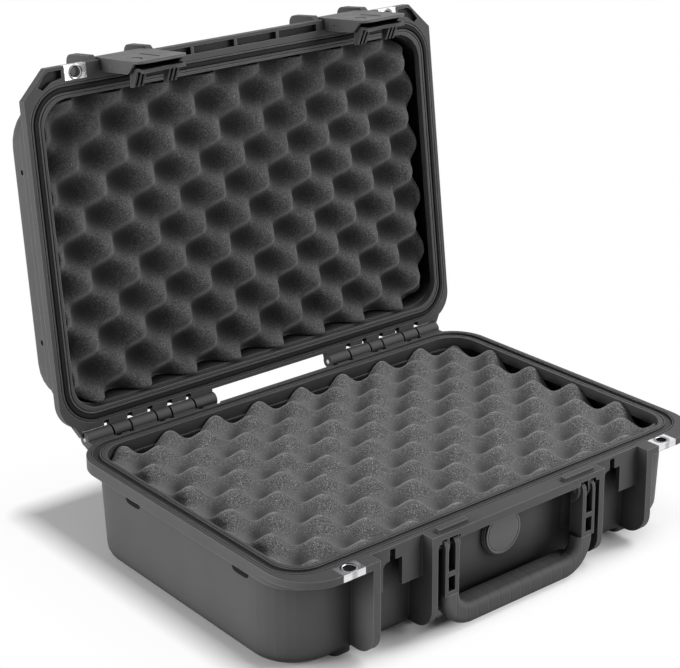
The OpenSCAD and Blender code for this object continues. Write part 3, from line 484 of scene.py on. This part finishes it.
backward = (lid_pt(0, 1, 0) - lid_pt(0, 0, 0)).normalized()
for side in ("left", "right"):
    lowest, highest = closed_box("latch_body_" + side, True)
    middle = (lowest[0] + highest[0]) / 2
    arc = [(middle + ARC_X + ARC_BULGE * math.sin(math.pi * k / ARC_STEPS),
            ARC_TOP - ARC_LENGTH * k / ARC_STEPS) for k in range(ARC_STEPS + 1)]
    line = [(middle + LINE_X, LINE_TOP - LINE_LENGTH * k / LINE_STEPS) for k in range(LINE_STEPS + 1)]
    for part, points in (("thumb_arc", arc), ("thumb_line", line)):
        outline = [lid_pt(u, lowest[1] - MARK_START, v) for u, v in strip(points, MARK_WIDTH)]
        laid_on("%s_%s" % (part, side), "latch_body_" + side, outline, backward, dark,
                "latch_" + side)

# Painted shade for the recesses under the base's side rims: thin dark pieces laid on the side walls, each with a
# flat top edge and a round belly below it.
RECESS_PLACES = (60.5, -87)  # Y of their middles
RECESS_HALF, RECESS_TOP, RECESS_HEIGHT, RECESS_STEPS = 10.5, -12.2, 6.6, 16
RECESS_FULL = 0.5  # power that fills out the belly's shape
BEYOND_SIDE = 240  # X at which the lines to the side walls begin


def recess_point(side, y, turn):
    """Point of a recess's outline at an angle from 0, at its back end, to pi, at its front end."""
    along = math.copysign(RECESS_HALF * abs(math.cos(turn)) ** RECESS_FULL, math.cos(turn))
    return base_pt(side * BEYOND_SIDE, y + along, RECESS_TOP - RECESS_HEIGHT * math.sin(turn) ** RECESS_FULL)


for number, y in enumerate(RECESS_PLACES):
    for side, letter in ((-1, "l"), (1, "r")):
        outline = [recess_point(side, y, math.pi * k / RECESS_STEPS) for k in range(RECESS_STEPS + 1)]
        laid_on("side_recess_shade_%d%s" % (number, letter), "base_shell", outline, (-side, 0, 0), dark,
                "base")

# Rubber swell behind the handle's bar. Its front edge lies inside the bar, SWELL_IN behind the bar's face.
SWELL_IN, SWELL_FLOOR, SWELL_TOP = 5.5, 0.3, 17.52  # floor and top are from the bar's underside
SWELL_REACH, SWELL_HALF, SWELL_RUN_OUT = 8.5, 73, 9  # behind the bar, to each side, and at each end
TURN_X, TURN_R = 53, 31.5  # where the handle's corners begin, and their outer radius
SWELL_ROUND, SWELL_FLAT = 6, 0.5  # rounding of the back edges, and half the least flat between them
SWELL_STATIONS, SWELL_TURNS = 36, 6
FRONT_LIFT = 0.8  # how far the front edge lies above the floor
TUCK = ((2.5, 0), (2, 0.1), (0, 2))  # the top's front edge, behind the front and below the top


def grip_back():
    """Rubber swell behind the handle's bar, which all but reaches the case's wall."""
    lowest, highest = closed_box("handle_grip", False)
    front, back = lowest[1] + SWELL_IN, highest[1]
    floor, top = lowest[2] + SWELL_FLOOR, lowest[2] + SWELL_TOP
    turns = [math.pi / 2 * k / SWELL_TURNS for k in range(SWELL_TURNS + 1)]
    verts, faces = [], []
    for i in range(SWELL_STATIONS + 1):
        x = SWELL_HALF * (2 * i / SWELL_STATIONS - 1)
        rise = min(1, max(0, (SWELL_HALF - abs(x)) / SWELL_RUN_OUT))
        low = floor + TURN_R - math.sqrt(TURN_R ** 2 - max(0, abs(x) - TURN_X) ** 2)
        r = min(SWELL_ROUND, (top - low) / 2 - SWELL_FLAT)
        y1 = back + SWELL_REACH * rise * rise * (3 - 2 * rise) - r
        section = [(front, low + FRONT_LIFT)]
        section += [(y1 + r * math.sin(t), low + r - r * math.cos(t)) for t in turns]
        section += [(y1 + r * math.cos(t), top - r + r * math.sin(t)) for t in turns]
        section += [(front + behind, top - below) for behind, below in TUCK]
        verts += [base_pt(x, y, z) for y, z in section]
    n = len(section)
    for i in range(0, SWELL_STATIONS * n, n):
        faces += [(i + k, i + (k + 1) % n, i + n + (k + 1) % n, i + n + k) for k in range(n)]
    faces += [tuple(reversed(range(n))), tuple(range(SWELL_STATIONS * n, (SWELL_STATIONS + 1) * n))]
    finish_piece(mesh_object("grip_back", verts, faces), grip, "handle")


grip_back()


# ---------------------------------------------------------------- stage, lights and camera
FLOOR_HALF = 6
FLOOR_TONES, FLOOR_SCALE, FLOOR_ROUGH, FLOOR_SPECULAR = (0.93, 0.95), 3, 0.9, 0.1
FOOTPRINT = (0.222, 0.185, 1)  # half sizes in metres; inside it the floor shows only the light it gets
FLOOR_WHITE = ((0.0, 0), (0.03, 0.95), (0.12, 1))  # metres outside the footprint, and share of plain white
SOFT_LIGHT = 0.14
LAMPS = (  # name, place, target, size, watts
    ("left_back", (-3.0, 0.6, 0.7), (0, 0, 0.15), (2.0, 1.5), 104),
    ("right_front", (1.0, -1.7, 0.9), (0, 0, 0.15), (1.2, 0.9), 23),
    ("top", (1.5, -0.5, 2.1), (0, 0, 0.1), (1.6, 1.3), 50),
)
# The camera, as fitted to the photograph: lengths in its pixels, then its place in the closed case's
# frame, and in degrees how far it turns from Y towards X, looks up, and is rolled about its own view.
PHOTO_SIZE, PHOTO_FOCAL, PHOTO_CENTRE = (680, 668), 1804.19, (262.91, 184.49)
CAMERA_PLACE = (-952.9, -1083.03, 664.39)
CAMERA_PAN, CAMERA_TILT, CAMERA_ROLL = 37.25347, -16.78303, -1.13871
SENSOR_WIDTH, FAR_END = 36, 20


def direct_view(tree):
    """1 for rays from the camera and for those that it sees in a mirror or through glass."""
    path = tree.nodes.new("ShaderNodeLightPath")
    total = path.outputs["Is Camera Ray"]
    for other in ("Is Glossy Ray", "Is Transmission Ray"):
        n = tree.nodes.new("ShaderNodeMath")
        n.operation = "MAXIMUM"
        tree.links.new(total, n.inputs[0])
        tree.links.new(path.outputs[other], n.inputs[1])
        total = n.outputs["Value"]
    return total


def stage_plane(name, size):
    """Pale floor that keeps the object's shadow near it and fades into plain white further off."""
    bm = bmesh.new()
    bmesh.ops.create_grid(bm, x_segments=1, y_segments=1, size=size)
    mesh = bpy.data.meshes.new(name)
    bm.to_mesh(mesh)
    bm.free()
    obj = bpy.data.objects.new(name, mesh)
    bpy.context.scene.collection.objects.link(obj)
    m = Mat(name)
    m.set("Base Color", m.mottled(m.noise(FLOOR_SCALE, 2), even(FLOOR_TONES[0]), even(FLOOR_TONES[1])))
    m.set("Roughness", FLOOR_ROUGH)
    m.set("Specular IOR Level", FLOOR_SPECULAR)
    past = m.vector("SUBTRACT", m.vector("ABSOLUTE", m.coord), FOOTPRINT)
    outside = m.vector("LENGTH", m.vector("MAXIMUM", past, (0, 0, 0)))
    white_by = m.ramp(outside, *((p, even(share)) for p, share in FLOOR_WHITE))
    blend = m.add("ShaderNodeMixShader")
    m.link(m.maths("MULTIPLY", white_by, direct_view(m.tree)), blend.inputs["Fac"])
    m.link(m.bsdf.outputs["BSDF"], blend.inputs[1])
    m.link(m.add("ShaderNodeEmission").outputs["Emission"], blend.inputs[2])
    m.link(blend.outputs["Shader"], m.tree.nodes["Material Output"].inputs["Surface"])
    obj.data.materials.append(m.mat)


stage_plane("floor", FLOOR_HALF)

world = bpy.data.worlds.new("studio")
bpy.context.scene.world = world
world.use_nodes = True
tree = world.node_tree
tree.nodes.clear()
blend = tree.nodes.new("ShaderNodeMixShader")
tree.links.new(direct_view(tree), blend.inputs["Fac"])
for number, strength in ((1, SOFT_LIGHT), (2, 1)):
    background = tree.nodes.new("ShaderNodeBackground")
    background.inputs["Color"].default_value = WHITE
    background.inputs["Strength"].default_value = strength
    tree.links.new(background.outputs["Background"], blend.inputs[number])
tree.links.new(blend.outputs["Shader"], tree.nodes.new("ShaderNodeOutputWorld").inputs["Surface"])

for name, place, target, size, power in LAMPS:
    lamp = bpy.data.lights.new(name, "AREA")
    lamp.shape = "RECTANGLE"
    lamp.size, lamp.size_y = size
    lamp.energy = power
    obj = bpy.data.objects.new(name, lamp)
    obj.location = place
    obj.rotation_euler = (Vector(target) - Vector(place)).to_track_quat("-Z", "Y").to_euler()
    obj.visible_camera = False
    bpy.context.scene.collection.objects.link(obj)

camera = bpy.data.cameras.new("camera")
camera.sensor_width = SENSOR_WIDTH
camera.lens = PHOTO_FOCAL / PHOTO_SIZE[0] * SENSOR_WIDTH
camera.shift_x = (PHOTO_SIZE[0] / 2 - PHOTO_CENTRE[0]) / PHOTO_SIZE[0]
camera.shift_y = (PHOTO_CENTRE[1] - PHOTO_SIZE[1] / 2) / PHOTO_SIZE[0]
camera.clip_end = FAR_END
cam = bpy.data.objects.new("camera", camera)
turn = Matrix.Rotation(math.radians(-CAMERA_PAN), 4, "Z")
turn @= Matrix.Rotation(math.radians(90 + CAMERA_TILT), 4, "X")
turn @= Matrix.Rotation(math.radians(CAMERA_ROLL), 4, "Z")
cam.matrix_world = Matrix.Translation(base_pt(*CAMERA_PLACE)) @ turn
bpy.context.scene.collection.objects.link(cam)
bpy.context.scene.camera = cam
bpy.context.scene.view_settings.view_transform = "Standard"
